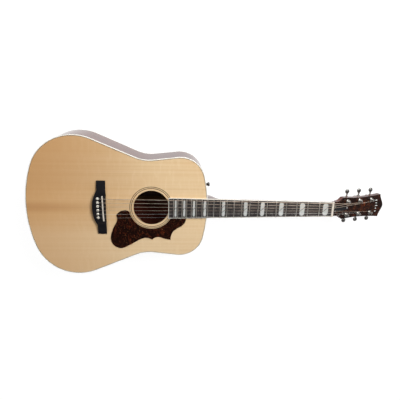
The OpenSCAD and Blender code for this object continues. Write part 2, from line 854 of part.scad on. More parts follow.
module tuner_housings() color(nickel) lay() for (k = [0:5]) difference() {
  union() {
    on_post(k) translate([0, 0, -head_thickness - 10]) cylinder(h = 10, r = 9.4);
    on_shaft(k) translate([0, 0, -8.5]) cylinder(h = 18, r = 4.95);
    on_shaft(k) translate([-9.5, -5, -8.5]) cube([9.5, 10, 17]);
    tuner_screw_at(k) translate([0, 0, -2]) cylinder(h = 2, r = 3.4);
    tuner_screw_at(k) translate([0, -3.4, -2]) cube([6, 6.8, 2]);
  }
  on_post(k) translate([0, 0, -shaft_depth - 2]) cylinder(h = 4, r = wheel_tip_r + 0.4);
  on_post(k) translate([0, 0, -shaft_depth - 4]) cylinder(h = 30, r = post_r + fit_gap);
  on_shaft(k) translate([0, 0, -6.2]) cylinder(h = 12.4, r = thread_tip_r + 0.2);
  on_shaft(k) translate([0, 0, -7.6]) cylinder(h = 30, r = shaft_r + fit_gap);
  tuner_screw_at(k) translate([0, 0, -4]) cylinder(h = 6, r = 1);
}

module tuner_screws() color(nickel) lay() for (k = [0:5]) tuner_screw_at(k) difference() {
  union() {
    translate([0, 0, -2]) cylinder(h = 9, r = 1);
    translate([0, 0, -3.2]) cylinder(h = 1.2, r = 2);
  }
  for (turn = [0, 90]) rotate(turn) translate([-1.2, -0.25, -4]) cube([2.4, 0.5, 1.2]);
}

module tuner_bushings() color(nickel) lay() for (k = [0:5]) on_post(k) difference() {
  union() {
    translate([0, 0, -9]) cylinder(h = 9.5, r = bushing_r);
    cylinder(h = 1.2, r = 6.2);
    translate([0, 0, 1.2]) cylinder(h = 1.3, r = 5);
  }
  translate([0, 0, -20]) cylinder(h = 40, r = post_r + fit_gap);
}

// The worm's thread: one right-handed ridge around the shaft, centred on the wheel's gap
module worm_thread(turns = 3.5, steps = 16) {
  last = turns * steps;
  loft([
    for (j = [0:last])
      let (
        a = (j / last - 0.5) * turns * 360,
        y = a / 360 * thread_pitch,
        out = [-cos(a), 0, sin(a)]
      )
        [
          (shaft_r - 0.1) * out + [0, y + 0.72, 0],
          thread_tip_r * out + [0, y + 0.25, 0],
          thread_tip_r * out + [0, y - 0.25, 0],
          (shaft_r - 0.1) * out + [0, y - 0.72, 0]
        ]
  ]);
}

module tuner_knob(k) color(nickel) lay() {
  on_shaft(k) {
    translate([0, 0, -7.4]) cylinder(h = button_offset - post_offset + 4, r = shaft_r);
    translate([0, 0, 10]) cylinder(h = 1.2, r = 3.2);
    translate([0, 0, button_offset - post_offset - button_d / 2 - 2]) cylinder(h = 4, r = 3);
    translate([0, 0, button_offset - post_offset]) rotate([90, 0, 0]) rotate_extrude() {
      translate([button_d / 2 - 3.2, 0]) circle(3.2);
      translate([0, -3.2]) square([button_d / 2 - 3.2, 6.4]);
    }
  }
  on_head(post_s(k) + worm_centre, side_of(k) * post_offset, -shaft_depth) worm_thread();
}

// A straight-toothed wheel with a gap facing the worm
module worm_wheel() {
  flank = [[3, -0.78], [wheel_root_r, -0.75], [wheel_tip_r, -0.25]];
  linear_extrude(wheel_width, center = true) {
    circle(wheel_root_r + 0.05, $fn = 96);
    for (i = [0:wheel_teeth - 1]) rotate((i + 0.5) * 360 / wheel_teeth)
      polygon(concat(flank, flip_y(flank)));
  }
}

module tuner_post(k) color(nickel) lay() on_post(k) {
  difference() {
    rotate_extrude() {
      translate([0, -shaft_depth - 3.8]) square([post_r, shaft_depth + 3.8 + wrap_height - 0.6]);
      square([drum_r, 11]);
      translate([0, wrap_height + 4.6]) square([post_r, 2.4]);
      translate([0, 11]) square([post_r - 0.5, 0.5]);
    }
    translate([0, 0, wrap_height + 5.8]) rotate([90, 0, 0]) cylinder(h = 20, r = 0.9, center = true);
  }
  translate([0, 0, -shaft_depth]) worm_wheel();
  // the string's turns around the post
  for (i = [0:wraps - 1]) translate([0, 0, wrap_height + (i + 0.5) * (gauges[k] + 0.1)])
    rotate_extrude() translate([drum_r + gauges[k] / 2 - 0.05, 0]) circle(gauges[k] / 2, $fn = 24);
}

// ---- strings ----

// From the ball end under the bridge plate, over saddle and nut, to the side of its post
module string(k) {
  d = gauges[k];
  y = saddle_y(k);
  top = saddle_top + crown(y) + d / 2 + 0.03;
  crest = [saddle_x(y), y, top];
  nut = [nut_x - 0.2, nut_y(k), nut_action + crown(nut_y(k)) + d / 2 + 0.02];
  run = crest - nut;
  coil = drum_r + 1.5 * d + string_gap;
  end = from_face(post_s(k) - 1, side_of(k) * (post_offset - coil), wrap_height + 1.5 * (d + 0.1));
  fan = (end.y - nut_y(k)) / (end.x - nut_x);
  after_nut = [nut_x + nut_length, nut_y(k) + fan * nut_length, nut.z - 0.65];
  pin_x = -pins_at + pin_groove;
  ball = [-pins_at + 4.6, y, -top_thickness - plate_thickness - ball_r - 0.1];
  cord([
    ball,
    [pin_x + 1.3, y, ball.z + 0.3],
    [pin_x + 0.3, y, ball.z + 1],
    [pin_x, y, ball.z + 2.2],
    [pin_x, y, 5.2],
    [pin_x + 0.3, y, 6.4],
    [pin_x + 1.6, y, 7.9],
    [pin_x + 3.2, y, 8.9],
    [crest.x - 1.2, y, top - 0.35],
    crest,
    crest - run * 0.002,
    crest - run * 0.5,
    nut,
    (nut + after_nut) / 2 + [0, 0, 0.1],
    after_nut,
    after_nut + (end - after_nut) * 0.04,
    end
  ], d);
  // the ball end that bears on the bridge plate
  translate(ball) rotate([90, 0, 0]) cylinder(h = 3.6, r = ball_r, center = true);
}

module string_colour(k) {
  color(k < 2 ? nickel : bronze) lay() string(k);
}

soundboard();
back_panel();
bass_side();
treble_side();
top_lining();
back_lining();
neck_block();
tail_block();
top_binding();
back_binding();
rosette();
pickguard();
x_brace();
tone_bars();
finger_braces();
soundhole_braces();
bridge_plate();
back_braces();
back_strip();
bridge();
saddle();
bridge_pins();
end_pin();
strap_button();
strap_button_screw();
neck();
neck_bolts();
heel_cap();
fingerboard();
fingerboard_binding();
frets();
fingerboard_inlays();
nut();
headstock_facing();
headstock_inlay();
truss_rod();
truss_rod_nut();
truss_rod_cover();
cover_screws();
tuner_housings();
tuner_bushings();
tuner_screws();
tuner_knob(0);  // tuner_knob_1
tuner_knob(1);  // tuner_knob_2
tuner_knob(2);  // tuner_knob_3
tuner_knob(3);  // tuner_knob_4
tuner_knob(4);  // tuner_knob_5
tuner_knob(5);  // tuner_knob_6
tuner_post(0);  // tuner_post_1
tuner_post(1);  // tuner_post_2
tuner_post(2);  // tuner_post_3
tuner_post(3);  // tuner_post_4
tuner_post(4);  // tuner_post_5
tuner_post(5);  // tuner_post_6
string_colour(0);  // string_1
string_colour(1);  // string_2
string_colour(2);  // string_3
string_colour(3);  // string_4
string_colour(4);  // string_5
string_colour(5);  // string_6
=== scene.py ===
"""A steel-string acoustic guitar lying on its back: the CAD frame with its finishes and fine trim."""

import json
import math

import bmesh
import bpy
from mathutils import Matrix, Vector


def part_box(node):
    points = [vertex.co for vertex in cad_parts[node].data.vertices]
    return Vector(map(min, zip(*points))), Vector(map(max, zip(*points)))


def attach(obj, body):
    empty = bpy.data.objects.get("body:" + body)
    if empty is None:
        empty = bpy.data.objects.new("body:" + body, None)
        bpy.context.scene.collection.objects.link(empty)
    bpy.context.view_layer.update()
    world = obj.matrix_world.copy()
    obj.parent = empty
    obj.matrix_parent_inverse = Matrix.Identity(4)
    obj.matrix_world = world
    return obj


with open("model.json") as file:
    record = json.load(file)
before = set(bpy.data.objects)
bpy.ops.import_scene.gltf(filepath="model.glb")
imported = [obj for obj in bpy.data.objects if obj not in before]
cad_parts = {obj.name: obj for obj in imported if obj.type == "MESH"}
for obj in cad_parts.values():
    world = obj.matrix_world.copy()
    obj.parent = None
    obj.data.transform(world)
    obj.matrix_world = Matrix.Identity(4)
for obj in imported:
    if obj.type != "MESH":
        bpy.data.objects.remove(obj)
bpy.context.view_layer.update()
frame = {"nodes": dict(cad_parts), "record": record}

MM = 0.001
NODES = frame["nodes"]
JOINTS = {joint["name"]: joint for joint in frame["record"]["behaviour"]["joints"]}
SCALE_LENGTH = 645 * MM
# the strings' thicknesses in millimetres
STRING_GAUGES = {1: 0.30, 2: 0.41, 3: 0.61, 4: 0.81, 5: 1.07, 6: 1.35}


# ---- the guitar's own frame ----


def guitar_frame():
    """The soundboard's frame at the neck: X to the headstock, Y to the bass side, Z out of the wood."""
    faces = NODES["soundboard"].data.polygons
    top = max(faces, key=lambda face: face.area if face.normal.z > 0.9 else 0)
    lean = Matrix.Rotation(math.atan2(top.normal.x, top.normal.z), 4, "Y")
    points = [lean.inverted() @ v.co for v in NODES["top_binding"].data.vertices]
    joint = Vector((max(p.x for p in points), 0, max(p.z for p in points)))
    return Matrix.Translation(lean @ joint) @ lean


GUITAR = guitar_frame()
TO_GUITAR = GUITAR.inverted()


def guitar_box(node):
    """A node's lowest and highest corners in the guitar's own frame."""
    points = [TO_GUITAR @ v.co for v in NODES[node].data.vertices]
    return (Vector(map(min, zip(*points))), Vector(map(max, zip(*points))))


# ---- materials ----


def srgb(red, green, blue):
    """A colour given as 0-255 display values, made linear."""
    linear = [((c / 255 + 0.055) / 1.055) ** 2.4 if c > 10 else c / 3295 for c in (red, green, blue)]
    return (*linear, 1)


class Finish:
    """A node material on one Principled shader, with patterns in the piece's own coordinates, in metres."""

    def __init__(self, name, **values):
        self.material = bpy.data.materials.new(name)
        self.material.use_nodes = True
        self.tree = self.material.node_tree
        self.shader = self.tree.nodes["Principled BSDF"]
        self.coord = self.add("ShaderNodeTexCoord").outputs["Object"]
        for label, value in values.items():
            self.shader.inputs[label.replace("_", " ")].default_value = value

    def add(self, kind, *inputs, **settings):
        """Adds a node; each input is a value or another node's socket, or None to leave it as it is."""
        node = self.tree.nodes.new(kind)
        for label, value in settings.items():
            setattr(node, label, value)
        for socket, value in zip(node.inputs, inputs):
            self.feed(socket, value)
        return node

    def feed(self, socket, value):
        if isinstance(value, bpy.types.NodeSocket):
            self.tree.links.new(value, socket)
        elif value is not None:
            socket.default_value = value

    def math(self, operation, a, b=None, c=None):
        return self.add("ShaderNodeMath", a, b, c, operation=operation).outputs[0]

    def place(self, scale=(1, 1, 1), coord=None, turn=(0, 0, 0)):
        """Coordinates that are turned, then stretched."""
        mapping = self.add("ShaderNodeMapping", coord or self.coord)
        mapping.inputs["Rotation"].default_value = [math.radians(a) for a in turn]
        mapping.inputs["Scale"].default_value = scale
        return mapping.outputs[0]

    def noise(self, coord, scale=1, detail=3, roughness=0.5, distortion=0):
        node = self.add("ShaderNodeTexNoise")
        values = {"Vector": coord, "Scale": scale, "Detail": detail, "Roughness": roughness}
        for label, value in values.items():
            self.feed(node.inputs[label], value)
        node.inputs["Distortion"].default_value = distortion
        return node.outputs["Fac"]

    def ramp(self, value, *stops):
        """A colour or grey for a value, from stops such as (0.3, colour)."""
        node = self.add("ShaderNodeValToRGB", value)
        elements = node.color_ramp.elements
        while len(elements) < len(stops):
            elements.new(0.5)
        for element, (position, colour) in zip(elements, stops):
            element.position = position
            element.color = colour if isinstance(colour, tuple) else (colour, colour, colour, 1)
        return node.outputs[0]

    def fade(self, value, low, high, start=0.0, end=1.0):
        """start below low and end above high, smooth between them."""
        node = self.add("ShaderNodeMapRange", value, low, high, start, end, interpolation_type="SMOOTHSTEP")
        return node.outputs[0]

    def mix(self, factor, a, b, blend="MIX"):
        node = self.add("ShaderNodeMix", data_type="RGBA", blend_type=blend)
        self.feed(node.inputs["Factor"], factor)
        self.feed(node.inputs[6], a)
        self.feed(node.inputs[7], b)
        return node.outputs[2]

    def colour(self, value):
        self.feed(self.shader.inputs["Base Color"], value)

    def roughness(self, value, low, high):
        """Roughness from low to high as a 0-1 pattern rises."""
        spread = self.add("ShaderNodeMapRange", value, 0.0, 1.0, low, high).outputs[0]
        self.feed(self.shader.inputs["Roughness"], spread)

    def bump(self, height, depth):
        """Relief of a 0-1 pattern, depth metres high."""
        node = self.add("ShaderNodeBump")
        self.feed(node.inputs["Height"], height)
        node.inputs["Distance"].default_value = depth
        self.feed(self.shader.inputs["Normal"], node.outputs[0])


def spruce_top():
    """Book-matched spruce: fine straight growth lines, faint streaks, cross-grain silk, a browner seam."""
    f = Finish("spruce_top", Coat_Weight=0.5, Coat_Roughness=0.16, Specular_IOR_Level=0.2)
    x, y, z = f.add("ShaderNodeSeparateXYZ", f.coord).outputs
    away = f.math("ABSOLUTE", y)
    half = f.add("ShaderNodeCombineXYZ", x, away, 0.0).outputs[0]
    sway = f.noise(f.place((2.2, 5, 1), half), detail=2)
    across = f.math("MULTIPLY_ADD", sway, 0.005, away)
    grain = f.add("ShaderNodeCombineXYZ", x, across, 0.0).outputs[0]
    lines = f.noise(f.place((1.2, 760, 1), grain), detail=3, roughness=0.6)
    streaks = f.noise(f.place((1.3, 150, 1), grain), detail=3)
    clouds = f.noise(f.place((3.2, 14, 1), grain), detail=2)
    silk = f.noise(f.place((120, 26, 1), half), detail=3, distortion=0.6)
    deep, middle, light = srgb(225, 193, 149), srgb(229, 199, 156), srgb(232, 203, 162)
    wood = f.ramp(streaks, (0.3, deep), (0.5, middle), (0.7, light))
    late = f.mix(f.fade(lines, 0.48, 0.74, 0.0, 0.34), wood, srgb(190, 144, 96))
    broad = f.mix(f.fade(clouds, 0.4, 0.66, 0.0, 0.3), late, srgb(214, 172, 122))
    silky = f.mix(f.fade(silk, 0.45, 0.75, 0.0, 0.24), broad, srgb(242, 218, 180))
    # warmer wood towards the tail, with painted shade that darkens it there, and browner heartwood beside
    # the seam there
    tailward = f.math("SUBTRACT", 1.0, f.fade(x, -0.50, -0.16))
    warm_tone_and_shade = f.mix(f.math("MULTIPLY", tailward, 0.75), silky, srgb(208, 157, 102))
    band = f.fade(f.math("MULTIPLY_ADD", clouds, 0.014, away), 0.008, 0.030, 1.0, 0.0)
    heart = f.mix(f.math("MULTIPLY", band, f.math("MULTIPLY", tailward, 0.5)), warm_tone_and_shade, srgb(184, 132, 82))
    # the two halves are not quite the same: paler on the treble side, deeper towards the bass lower bout
    pale = f.mix(f.fade(y, -0.09, -0.01, 0.25, 0.0), heart, srgb(238, 214, 178))
    deeper = f.math("MULTIPLY", f.fade(y, 0.01, 0.09, 0.0, 0.27), f.fade(x, -0.30, -0.12, 1.0, 0.0))
    halves = f.mix(deeper, pale, srgb(182, 134, 84))
    seam = f.fade(away, 0.0001, 0.0003, 0.4, 0.0)
    f.colour(f.mix(seam, halves, srgb(140, 98, 60)))
    f.roughness(lines, 0.32, 0.45)
    f.bump(lines, 0.00002)
    return f.material


def mahogany(name, light, dark, pore, centre_strip=False, **values):
    """Straight-grained red-brown wood with ribbon figure and long open pores."""
    f = Finish(name, **values)
    coord = f.coord
    if centre_strip:
        # the back is two matched halves; its outer face is the lowest wood
        x, y, z = f.add("ShaderNodeSeparateXYZ", f.coord).outputs
        on_back = f.fade(z, 0.0030, 0.0034, 1.0, 0.0)
        away = f.math("ABSOLUTE", y)
        matched = f.math("MULTIPLY_ADD", f.math("SUBTRACT", away, y), on_back, y)
        coord = f.add("ShaderNodeCombineXYZ", x, matched, z).outputs[0]
    ribbon = f.noise(f.place((2.2, 46, 46), coord), detail=4, roughness=0.6, distortion=0.4)
    wood = f.ramp(ribbon, (0.3, dark), (0.52, light), (0.75, dark))
    broad = f.noise(f.place((3.5, 9, 9), coord), detail=2)
    shaded = f.mix(f.fade(broad, 0.35, 0.7, 0.0, 0.45), wood, dark)
    pores = f.noise(f.place((55, 1500, 1500), coord), detail=2)
    surface = f.mix(f.fade(pores, 0.6, 0.7, 0.0, 0.7), shaded, pore)
    if centre_strip:
        surface = marquetry(f, surface, x, away, on_back)
    f.colour(surface)
    f.roughness(ribbon, 0.3, 0.45)
    f.bump(f.fade(pores, 0.6, 0.72, 1.0, 0.0), 0.00003)
    return f.material


def marquetry(f, surface, x, away, mask):
    """A strip of slanting light and dark blocks between two dark lines, down the middle of the back."""
    pitch, half, line = 4 * MM, 3.4 * MM, 0.8 * MM
    wave = f.math("SINE", f.math("MULTIPLY", f.math("ADD", x, away), 2 * math.pi / pitch))
    blocks = f.mix(f.math("GREATER_THAN", wave, 0.0), srgb(206, 168, 112), srgb(92, 46, 28))
    strip = f.math("MULTIPLY", f.math("LESS_THAN", away, half), mask)
    lined = f.mix(f.math("GREATER_THAN", away, half - line), blocks, srgb(30, 18, 14))
    return f.mix(strip, surface, lined)


def gloss_mahogany():
    return mahogany("gloss_mahogany", srgb(102, 50, 38), srgb(64, 29, 25), srgb(30, 13, 12),
                    centre_strip=True, Coat_Weight=0.85, Coat_Roughness=0.05, Specular_IOR_Level=0.0)


def raw_mahogany():
    return mahogany("raw_mahogany", srgb(140, 84, 58), srgb(104, 58, 40), srgb(60, 30, 22), IOR=1.45)


def plain_wood(name, pale, deep, pitch):
    """Unfinished wood seen through the soundhole."""
    f = Finish(name, IOR=1.45)
    grain = f.noise(f.place((6, pitch, pitch)), detail=4, roughness=0.6)
    fibres = f.noise(f.place((40, 1800, 1800)), detail=2)
    wood = f.ramp(grain, (0.3, deep), (0.65, pale))
    f.colour(f.mix(f.fade(fibres, 0.5, 0.75, 0.0, 0.25), wood, deep))
    f.roughness(grain, 0.6, 0.8)
    f.bump(fibres, 0.00004)
    return f.material


def brace_spruce():
    # coloured far darker than fresh spruce: painted shade for the dim inside of the body
    return plain_wood("brace_spruce", srgb(150, 114, 76), srgb(122, 88, 56), 600)


def maple():
    return plain_wood("maple", srgb(214, 178, 132), srgb(184, 140, 96), 260)


def plastic(name, colour, shade, coat=0.3, low=0.22, high=0.38, scale=160):
    """Cast plastic or bone: faint clouding, fine surface marks."""
    f = Finish(name, Coat_Weight=coat, Coat_Roughness=0.08, IOR=1.5)
    cloud = f.noise(f.place(), scale, 3)
    f.colour(f.mix(f.fade(cloud, 0.35, 0.7), colour, shade))
    marks = f.noise(f.place((900, 5200, 5200)), detail=2)
    f.roughness(marks, low, high)
    f.bump(marks, 0.000006)
    return f.material


def white_binding():
    return plastic("white_binding", srgb(240, 236, 226), srgb(228, 222, 208), 0.5, 0.15, 0.25, 60)


def black_inlay():
    return plastic("black_inlay", srgb(36, 26, 21), srgb(56, 40, 31), 0.2, 0.3, 0.4)


def bone():
    return plastic("bone", srgb(226, 217, 206), srgb(214, 204, 189), 0.2, 0.3, 0.45, 240)


def ivory_pins():
    return plastic("ivory_pins", srgb(240, 236, 224), srgb(226, 218, 200), 0.6, 0.12, 0.2, 300)


def black_plastic():
    return plastic("black_plastic", srgb(16, 16, 18), srgb(28, 28, 31), 0.6, 0.15, 0.28, 220)


def tortoise(name, scale, ground, glow, amber, fleck):
    """Tortoiseshell celluloid: a dark red-brown ground, soft glowing clouds, rare amber, small flecks."""
    f = Finish(name, Coat_Weight=0.42, Coat_Roughness=0.03, Specular_IOR_Level=0.1)
    drift = f.noise(f.place(), scale * 0.3, 3, distortion=0.8)
    blots = f.noise(f.place(), scale, 3, 0.5, distortion=2.2)
    spots = f.noise(f.place(turn=(0, 0, 37)), scale * 2.6, 3, 0.6, distortion=0.5)
    mixed = f.math("MULTIPLY_ADD", f.math("SUBTRACT", drift, 0.5), 0.7, blots)
    base = f.ramp(mixed, (0.45, ground), (0.62, glow), (0.78, amber))
    f.colour(f.mix(f.fade(spots, 0.65, 0.71, 0.0, 0.85), base, fleck))
    f.roughness(blots, 0.12, 0.2)
    return f


def tortoise_guard():
    return tortoise("tortoise_guard", 190, srgb(23, 8, 5), srgb(46, 16, 9), srgb(100, 44, 18),
                    srgb(186, 126, 78)).material


def tortoise_facing():
    """The headstock's veneer, with a patch of clear amber beyond its middle."""
    f = tortoise("tortoise_facing", 190, srgb(22, 9, 6), srgb(46, 21, 12), srgb(92, 44, 18),
                 srgb(180, 124, 84))
    base = f.shader.inputs["Base Color"].links[0].from_socket
    low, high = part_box("headstock_facing")
    patch = f.add("ShaderNodeVectorMath", f.coord, low.lerp(high, 0.63), operation="DISTANCE")
    cloud = f.noise(f.place(), 90, 4, 0.6, distortion=1.2)
    glints = f.noise(f.place(), 380, 3, 0.6, distortion=0.8)
    reach = f.math("MULTIPLY_ADD", cloud, 0.030, patch.outputs["Value"])
    near = f.fade(reach, 0.014, 0.034, 1.0, 0.0)
    clear = f.math("MULTIPLY", near, f.fade(glints, 0.44, 0.6, 0.15, 0.9))
    f.colour(f.mix(clear, base, srgb(184, 84, 16)))
    return f.material


def ebony():
    """Near-black wood with long fine pores and faint brown streaks; the fingerboard is drier and paler."""
    f = Finish("ebony", Specular_IOR_Level=0.35)
    streak = f.noise(f.place((5, 130, 130)), detail=3)
    oiled = f.ramp(streak, (0.35, srgb(17, 17, 21)), (0.6, srgb(26, 24, 27)), (0.8, srgb(44, 36, 34)))
    played = f.ramp(streak, (0.35, srgb(42, 39, 40)), (0.6, srgb(54, 49, 48)), (0.8, srgb(68, 58, 53)))
    along = f.add("ShaderNodeSeparateXYZ", f.coord).outputs[0]
    bridge_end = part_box("bridge")[1].x
    wood = f.mix(f.fade(along, bridge_end + 0.01, bridge_end + 0.02), oiled, played)
    pores = f.noise(f.place((90, 2300, 2300)), detail=2)
    f.colour(f.mix(f.fade(pores, 0.58, 0.7, 0.0, 0.6), wood, srgb(8, 8, 10)))
    f.roughness(streak, 0.3, 0.45)
    f.bump(f.fade(pores, 0.56, 0.7, 1.0, 0.0), 0.000015)
    return f.material


def pearl():
    """Mother-of-pearl: pale silver with soft pink and green drifts."""
    f = Finish("pearl", Coat_Weight=0.8, Coat_Roughness=0.05, IOR=1.6, Metallic=0.25)
    layers = f.noise(f.place((1, 2.2, 1)), 70, 4, 0.6, distortion=2.0)
    shell = f.ramp(layers, (0.3, srgb(196, 198, 204)), (0.45, srgb(232, 230, 226)),
                   (0.58, srgb(214, 226, 222)), (0.7, srgb(236, 222, 222)))
    f.colour(shell)
    f.roughness(layers, 0.15, 0.32)
    f.bump(layers, 0.00001)
    return f.material


def metal(name, colour, tint, low, high, rim=(1, 1, 1, 1)):
    """Metal with fine polishing marks and a slight tarnish; rim is its tint where it curves away."""
    f = Finish(name, Metallic=1.0, Specular_Tint=rim)
    tarnish = f.noise(f.place(), 130, 3)
    f.colour(f.mix(f.fade(tarnish, 0.4, 0.7), colour, tint))
    marks = f.noise(f.place((900, 3600, 900)), detail=2)
    f.roughness(marks, low, high)
    f.bump(marks, 0.000004)
    return f


def fret_nickel():
    return metal("fret_nickel", srgb(206, 202, 196), srgb(186, 180, 172), 0.34, 0.48).material


def nickel():
    """Bright plating on posts and housings; the tuners' buttons and the strap button are coloured duller
    and darker, painted shade in place of the dimmer reflections they show.
    """
    f = metal("nickel", srgb(208, 206, 202), srgb(192, 189, 184), 0.2, 0.34, rim=(0.3, 0.3, 0.3, 1))
    bright = f.shader.inputs["Base Color"].links[0].from_socket
    away = f.math("ABSOLUTE", f.add("ShaderNodeSeparateXYZ", f.coord).outputs[1])
    # the buttons lie outside this distance from the middle line, in metres
    button_shade = f.fade(away, 0.038, 0.041, 0.0, 0.9)
    # painted shade: a darker colour on the buttons stands in for dimmer reflections
    f.colour(f.mix(button_shade, bright, srgb(118, 116, 112)))
    return f.material


def tool_steel():
    return metal("tool_steel", srgb(120, 120, 124), srgb(84, 82, 84), 0.3, 0.5).material


def brass():
    return metal("brass", srgb(206, 168, 98), srgb(168, 128, 70), 0.2, 0.36).material


def plain_string():
    return metal("plain_string", srgb(236, 232, 226), srgb(214, 208, 200), 0.35, 0.5).material


def wound_string():
    """Bronze winding: fine rings across the string."""
    f = Finish("wound_string", Metallic=1.0)
    tarnish = f.noise(f.place(), 45, 3)
    x = f.add("ShaderNodeSeparateXYZ", f.coord).outputs[0]
    turns = f.math("SINE", f.math("MULTIPLY", x, 2 * math.pi / 0.00028))
    rings = f.math("MULTIPLY_ADD", turns, 0.5, 0.5)
    bronze = f.mix(f.fade(tarnish, 0.4, 0.7), srgb(212, 196, 180), srgb(188, 170, 152))
    # darker between the turns: painted shade in the grooves of the winding
    f.colour(f.mix(f.math("MULTIPLY", f.math("SUBTRACT", 1.0, rings), 0.4), bronze, srgb(116, 94, 78)))
    f.roughness(rings, 0.55, 0.4)
    f.bump(rings, 0.00004)
    return f.material


SLOT_MAKERS = (
    spruce_top, brace_spruce, gloss_mahogany, raw_mahogany, maple, white_binding, black_inlay,
    tortoise_guard, tortoise_facing, ebony, bone, ivory_pins, black_plastic, pearl, fret_nickel,
    nickel, tool_steel, brass, plain_string, wound_string,
)
MATERIALS = {maker.__name__: maker() for maker in SLOT_MAKERS}


# ---- the CAD pieces: finishes, smooth shading and softened edges ----


SHARP_ANGLE = 24


def shading_group():
    """A modifier that welds a shell's seams and shades it smooth between its sharp edges."""
    group = bpy.data.node_groups.new("smooth_shell", "GeometryNodeTree")
    group.interface.new_socket("Geometry", in_out="INPUT", socket_type="NodeSocketGeometry")
    group.interface.new_socket("Geometry", in_out="OUTPUT", socket_type="NodeSocketGeometry")
    group.is_modifier = True
    add, link = group.nodes.new, group.links.new
    start, end = add("NodeGroupInput"), add("NodeGroupOutput")
    bare = add("GeometryNodeRemoveAttribute")
    bare.inputs["Name"].default_value = "custom_normal"
    weld = add("GeometryNodeMergeByDistance")
    weld.inputs["Distance"].default_value = 0.000002
    faces = add("GeometryNodeSetShadeSmooth")
    faces.inputs["Shade Smooth"].default_value = True
    angle = add("GeometryNodeInputMeshEdgeAngle")
    sharp = add("FunctionNodeCompare")
    sharp.operation = "GREATER_THAN"
    sharp.inputs[1].default_value = math.radians(SHARP_ANGLE)
    edges = add("GeometryNodeSetShadeSmooth")
    edges.domain = "EDGE"
    edges.inputs["Shade Smooth"].default_value = False
    link(start.outputs[0], bare.inputs["Geometry"])
    link(bare.outputs[0], weld.inputs["Geometry"])
    link(weld.outputs[0], faces.inputs["Geometry"])
    link(faces.outputs[0], edges.inputs["Geometry"])
    link(angle.outputs["Unsigned Angle"], sharp.inputs[0])
    link(sharp.outputs[0], edges.inputs["Selection"])
    link(edges.outputs[0], end.inputs[0])
    return group


SMOOTH_SHELL = shading_group()


def smooth(piece):
    piece.modifiers.new("smooth_shell", "NODES").node_group = SMOOTH_SHELL


def soften(piece, width):
    """Rounds the piece's sharp edges by a width in millimetres."""
    bevel = piece.modifiers.new("soft_edges", "BEVEL")
    bevel.width = width * MM
    bevel.segments = 2
    bevel.limit_method = "ANGLE"
    bevel.angle_limit = math.radians(40)
    bevel.use_clamp_overlap = True
    bevel.harden_normals = True
    bevel.miter_outer = "MITER_ARC"


EDGE_WIDTHS = {
    "top_binding": 0.8, "back_binding": 0.8, "pickguard": 0.5, "bridge": 0.7, "saddle": 0.4,
    "nut": 0.35, "headstock_facing": 0.35, "truss_rod_cover": 0.4, "fingerboard_binding": 0.35,
    "heel_cap": 0.4, "tuner_housings": 0.3, "tuner_bushings": 0.15, "end_pin": 0.2, "strap_button": 0.2,
}


def finish_cad_nodes():
    for name, node in NODES.items():
        slot = node.material_slots[0]
        slot.material = MATERIALS[slot.material.name]
        smooth(node)
        if name in EDGE_WIDTHS:
            soften(node, EDGE_WIDTHS[name])


# ---- fine trim that the CAD leaves out ----


def build(name, points, faces, slot, body="root"):
    """A piece from points in the guitar's own frame, in metres."""
    mesh = bpy.data.meshes.new(name)
    mesh.from_pydata(points, [], faces)
    mesh.transform(GUITAR)
    mesh.update()
    mesh.materials.append(MATERIALS[slot])
    piece = bpy.data.objects.new(name, mesh)
    bpy.context.scene.collection.objects.link(piece)
    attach(piece, body)
    return piece


def join(parts):
    """One list of points and one of faces from several."""
    points, faces = [], []
    for part_points, part_faces in parts:
        faces += [[i + len(points) for i in face] for face in part_faces]
        points += part_points
    return points, faces


def lathe(centre, axis, profile):
    """Points and faces of a solid turned about an axis, from (radius, height) pairs off that axis."""
    sides = 24
    turn = axis.to_track_quat("Z", "Y")
    points = []
    for radius, height in profile:
        for i in range(sides):
            a = 2 * math.pi * i / sides
            points.append(centre + turn @ Vector((radius * math.cos(a), radius * math.sin(a), height)))
    faces = [list(range(sides))[::-1], list(range((len(profile) - 1) * sides, len(profile) * sides))]
    for ring in range(len(profile) - 1):
        for i in range(sides):
            a, b = ring * sides + i, ring * sides + (i + 1) % sides
            faces.append([a, b, b + sides, a + sides])
    return points, faces


def dot(centre, axis, radius, sunk, proud):
    """A small inlaid dot with a rounded edge and a slightly domed face."""
    rise = proud / 3
    profile = [(radius, -sunk), (radius, rise), (radius * 0.92, 2 * rise), (radius * 0.6, 2.8 * rise),
               (radius * 0.2, proud)]
    return lathe(centre, axis, profile)


def top_outline():
    """The soundboard's outer edge, as points in order in the guitar's own frame."""
    shell = bmesh.new()
    shell.from_mesh(NODES["soundboard"].data)
    shell.transform(TO_GUITAR)
    bmesh.ops.remove_doubles(shell, verts=shell.verts, dist=0.005 * MM)
    upward = [face for face in shell.faces if face.normal.z > 0.99]
    level = {face for face in upward if face.calc_center_median().z > -0.1 * MM}
    rim = {edge for edge in shell.edges if len(level.intersection(edge.link_faces)) == 1}
    loops = []
    while rim:
        edge = rim.pop()
        start, vertex = edge.verts
        loop = [start.co.copy(), vertex.co.copy()]
        while vertex != start:
            edge = next(e for e in vertex.link_edges if e in rim)
            rim.remove(edge)
            vertex = edge.other_vert(vertex)
            loop.append(vertex.co.copy())
        loops.append(loop[:-1])
    shell.free()
    return max(loops, key=lambda loop: max(p.y for p in loop) - min(p.y for p in loop))


